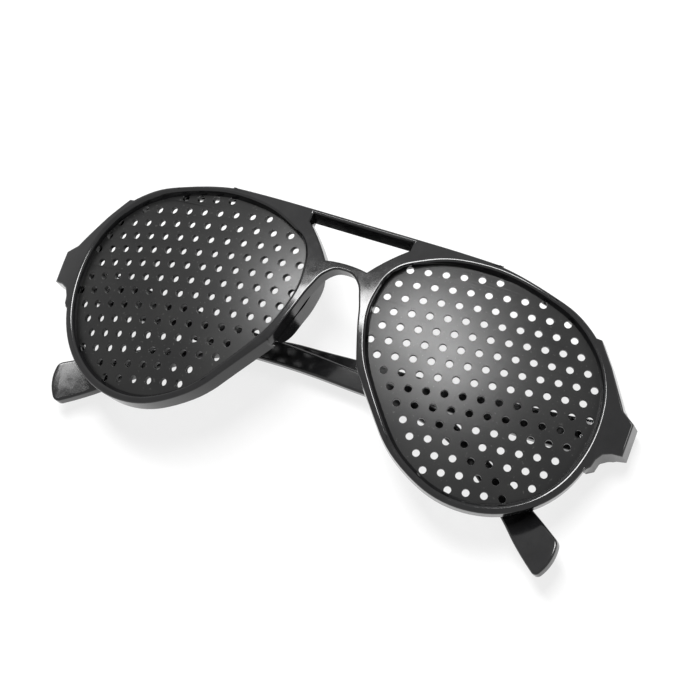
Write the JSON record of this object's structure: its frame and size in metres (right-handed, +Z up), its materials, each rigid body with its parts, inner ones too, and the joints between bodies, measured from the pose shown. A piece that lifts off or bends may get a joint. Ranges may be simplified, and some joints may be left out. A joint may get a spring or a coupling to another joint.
{
  "type": "pinhole glasses",
  "caption": "Folded plastic spectacles with curved black plates, perforated with staggered pinholes, in full rims joined by a brow bar and a bridge, on hinged temples.",
  "frame": {"origin": "under the middle of the folded glasses, on the surface that the outer temple lies on", "axes": "+X along the front towards the viewer's right, +Y from the nose gap to the brow bar, +Z up, out of the front face"},
  "size_m": [0.1448, 0.0638, 0.0308],
  "materials": {
    "frame_plastic": "polished black injection moulding",
    "lens_plastic": "satin black perforated sheet",
    "hinge_steel": "plain steel, bright where it rubs"
  },
  "bodies": {
    "root": {"front_frame": "frame_plastic", "lens_left": "lens_plastic", "lens_right": "lens_plastic", "hinge_front_leaf_left": "hinge_steel", "hinge_front_leaf_right": "hinge_steel", "hinge_screw_left": "hinge_steel", "hinge_screw_right": "hinge_steel"},
    "left_temple": {"temple_left": "frame_plastic", "hinge_temple_leaf_left": "hinge_steel"},
    "right_temple": {"temple_right": "frame_plastic", "hinge_temple_leaf_right": "hinge_steel"}
  },
  "joints": [
    {"name": "left_hinge", "type": "hinge", "parent": "root", "child": "left_temple", "pos_m": [-0.06789, 0.00403, 0.00934], "axis": [0.0262, 0.9997, -0.0004], "range_deg": [0, 91.5]},
    {"name": "right_hinge", "type": "hinge", "parent": "root", "child": "right_temple", "pos_m": [0.0676, 0.00403, 0.0039], "axis": [-0.0175, -0.9998, 0], "range_deg": [0, 87.7]}
  ]
}
